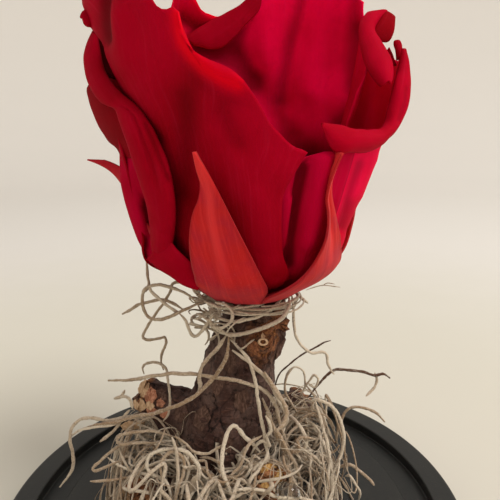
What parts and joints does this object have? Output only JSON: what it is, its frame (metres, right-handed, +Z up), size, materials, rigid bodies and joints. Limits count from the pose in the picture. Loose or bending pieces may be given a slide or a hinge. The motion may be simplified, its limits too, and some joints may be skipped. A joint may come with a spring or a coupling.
{
  "type": "preserved rose on root stump display base",
  "caption": "Preserved red rose glued on a dark root stump wrapped in dried moss, on a round black base whose rim has a seat for a glass dome.",
  "frame": {"origin": "centre of the round base's underside, on the surface that the object stands on", "axes": "+Z up along the base's axis; -Y towards the viewer of the picture, +X to the viewer's right"},
  "size_m": [0.125, 0.125, 0.1509],
  "materials": {
    "black_lacquer": "satin black paint",
    "bark": "rough dry bark",
    "petal_red": "soft matt petal",
    "sepal_red": "soft matt sepal",
    "dried_moss": "dry fibrous moss",
    "clear_glue": "clear dried glue"
  },
  "bodies": {
    "root": {"base_plate": "black_lacquer", "glue_bead": "clear_glue", "moss_heap": "dried_moss", "moss_neck": "dried_moss", "moss_strand_across": "dried_moss", "moss_strand_front_loop": "dried_moss", "moss_strand_left": "dried_moss", "moss_strand_low_right": "dried_moss", "moss_strand_neck_drop": "dried_moss", "moss_strand_neck_left": "dried_moss", "moss_strand_neck_right": "dried_moss", "moss_strand_neck_tip": "dried_moss", "moss_strand_right": "dried_moss", "moss_strand_right_loop": "dried_moss", "moss_strand_stem": "dried_moss", "moss_strand_twig": "dried_moss", "petal_core_back": "petal_red", "petal_core_front": "petal_red", "petal_guard_left": "petal_red", "petal_heart_front": "petal_red", "petal_heart_left": "petal_red", "petal_heart_right": "petal_red", "petal_inner_back_left": "petal_red", "petal_inner_back_right": "petal_red", "petal_inner_front": "petal_red", "petal_inner_right": "petal_red", "petal_middle_back_left": "petal_red", "petal_middle_back_right": "petal_red", "petal_middle_front": "petal_red", "petal_middle_left": "petal_red", "petal_middle_right": "petal_red", "petal_outer_back": "petal_red", "petal_outer_front": "petal_red", "petal_outer_front_right": "petal_red", "petal_outer_left": "petal_red", "petal_outer_right": "petal_red", "rose_hip": "sepal_red", "sepal_back": "sepal_red", "sepal_back_right": "sepal_red", "sepal_front": "sepal_red", "sepal_front_right": "sepal_red", "sepal_left": "sepal_red", "stump_back_right_root": "bark", "stump_front_left_root": "bark", "stump_front_right_root": "bark", "stump_left_fork": "bark", "stump_trunk": "bark"}
  },
  "joints": []
}
